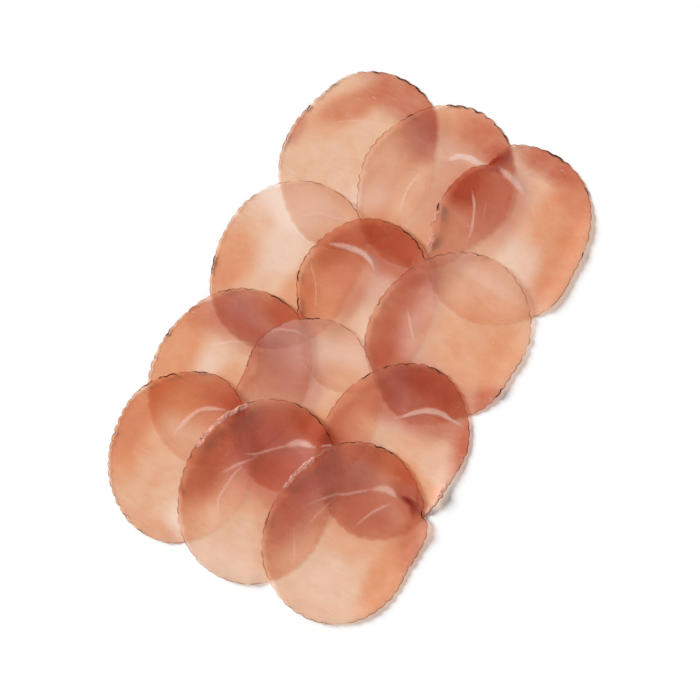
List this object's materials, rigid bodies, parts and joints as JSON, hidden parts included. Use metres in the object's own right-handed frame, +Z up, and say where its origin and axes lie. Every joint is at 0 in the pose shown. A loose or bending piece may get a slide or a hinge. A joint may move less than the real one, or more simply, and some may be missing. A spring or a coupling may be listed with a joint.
{
  "type": "sliced cured ham",
  "caption": "Laid-out portion of thin translucent cured ham slices, overlapping in rows, with scalloped brown rims; lies flat as a serving.",
  "frame": {"origin": "under the middle of the whole portion, on the surface it lies on", "axes": "+X along the rows from left to right, +Y from the front row to the back row, +Z up"},
  "size_m": [0.1944, 0.31, 0.0072],
  "materials": {
    "cured_ham": "thin moist cured meat, translucent, satin"
  },
  "bodies": {
    "root": {"row1_left_slice": "cured_ham", "row1_middle_slice": "cured_ham", "row1_right_slice": "cured_ham", "row2_left_slice": "cured_ham", "row2_middle_slice": "cured_ham", "row2_right_slice": "cured_ham", "row3_left_slice": "cured_ham", "row3_middle_slice": "cured_ham", "row3_right_slice": "cured_ham", "row4_left_slice": "cured_ham", "row4_middle_slice": "cured_ham", "row4_right_slice": "cured_ham"}
  },
  "joints": []
}
